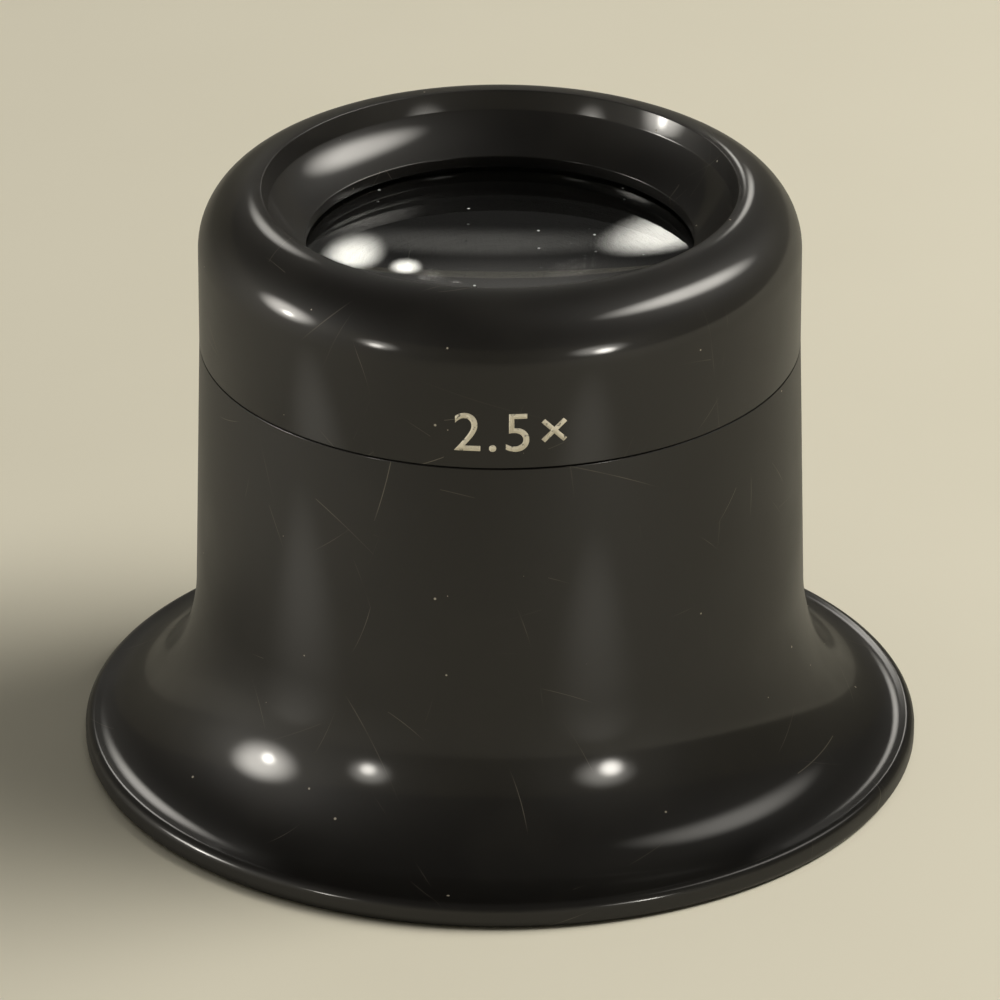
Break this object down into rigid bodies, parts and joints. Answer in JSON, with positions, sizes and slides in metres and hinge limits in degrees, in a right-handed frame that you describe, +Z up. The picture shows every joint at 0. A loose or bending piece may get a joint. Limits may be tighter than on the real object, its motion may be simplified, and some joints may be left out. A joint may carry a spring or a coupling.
{
  "type": "watchmaker eye loupe",
  "caption": "Black plastic eye loupe: a flared eyecup barrel, a biconvex glass lens and a smooth screw ring with a dished mouth that clamps the lens on a threaded neck.",
  "frame": {"origin": "centre of the flat rim of the bell, on the surface that the loupe stands on", "axes": "+Z up along the optical axis, from the eye end to the lens end; -Y is the front, where the mark is printed"},
  "size_m": [0.036, 0.036, 0.026],
  "materials": {
    "black_plastic": "polished black moulded plastic with a matt bore, fine rubbed scratches and dust",
    "crown_glass": "polished optical glass with a ground rim"
  },
  "bodies": {
    "barrel": {"eyecup_barrel": "black_plastic"},
    "glass": {"lens": "crown_glass"},
    "ring": {"screw_ring": "black_plastic"}
  },
  "joints": [
    {"name": "ring_turn", "type": "hinge", "parent": "barrel", "child": "glass", "pos_m": [0, 0, 0.019], "axis": [0, 0, 1], "range_deg": [0, 720]},
    {"name": "ring_rise", "type": "slide", "parent": "glass", "child": "ring", "axis": [0, 0, 1], "range_m": [0, 0.00101]}
  ],
  "couplings": [
    {"joint": "ring_rise", "follows": "ring_turn", "m_per_rad": 0.000079577}
  ]
}
